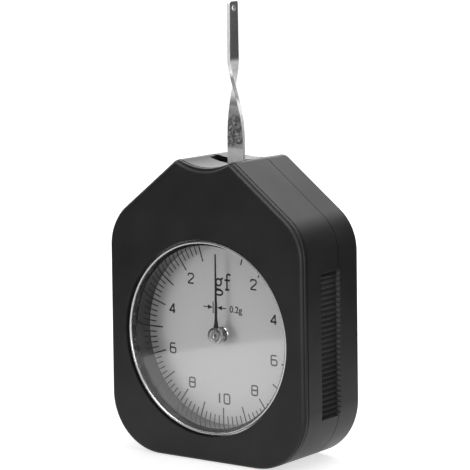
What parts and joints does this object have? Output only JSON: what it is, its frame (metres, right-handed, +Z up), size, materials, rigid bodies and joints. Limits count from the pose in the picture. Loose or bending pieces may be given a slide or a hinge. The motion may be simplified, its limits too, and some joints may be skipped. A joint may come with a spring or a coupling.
{
  "type": "force gauge",
  "caption": "Hand-held dial tension gauge: a black case with a round window, a centre-zero pointer and a twisted steel feeler lever that swings in a slot on top.",
  "frame": {"origin": "under the middle of the case, on the flat floor that it stands on, halfway between the front panel and the back", "axes": "+Z up along the lever, +X to the right seen from the dial, +Y to the back: the dial faces -Y"},
  "size_m": [0.0614, 0.0244, 0.1164],
  "materials": {
    "case_plastic": "fine satin black",
    "glossy_black": "polished black",
    "clear_window": "clear, polished",
    "bright_ring": "polished",
    "dial_silver": "fine satin silver with black print",
    "nickel": "turned and nickel plated",
    "pointer_black": "satin black",
    "lever_steel": "bright rolled strip",
    "shaft_steel": "turned",
    "screw_steel": "turned",
    "spring_steel": "rolled strip",
    "brass": "satin",
    "bronze": "turned"
  },
  "bodies": {
    "case": {"front_housing": "case_plastic", "rear_cover": "case_plastic", "case_screws": "screw_steel", "bezel_ring": "bright_ring", "crystal": "clear_window", "dial_well": "glossy_black", "dial_plate": "dial_silver", "dial_feet": "brass", "dial_bush": "nickel", "movement_base_plate": "brass", "movement_rear_plate": "brass", "frame_pillars": "brass", "pillar_screws": "screw_steel", "movement_screws": "screw_steel", "stop_pins": "shaft_steel", "lever_front_bush": "bronze", "lever_rear_bush": "bronze", "pinion_rear_bush": "bronze", "range_spring": "spring_steel", "range_spring_stud": "brass", "hairspring": "spring_steel", "hairspring_stud": "brass"},
    "lever_arm": {"lever": "lever_steel", "lever_hub": "brass", "lever_rivets": "brass", "lever_arbor": "shaft_steel", "sector_gear": "brass", "range_spring_collet": "brass"},
    "pointer_set": {"pointer": "pointer_black", "pointer_hub": "nickel", "pointer_arbor": "shaft_steel", "centre_pinion": "shaft_steel", "hairspring_collet": "brass"}
  },
  "joints": [
    {"name": "lever_swing", "type": "hinge", "parent": "case", "child": "lever_arm", "pos_m": [0, 0, 0.0648], "axis": [0, 1, 0], "range_deg": [-18, 18], "stiffness_Nm_per_rad": 0.0156},
    {"name": "pointer_turn", "type": "hinge", "parent": "case", "child": "pointer_set", "pos_m": [0, 0, 0.0318], "axis": [0, 1, 0], "range_deg": [-180, 180]}
  ],
  "couplings": [
    {"joint": "pointer_turn", "follows": "lever_swing", "ratio": -10}
  ]
}
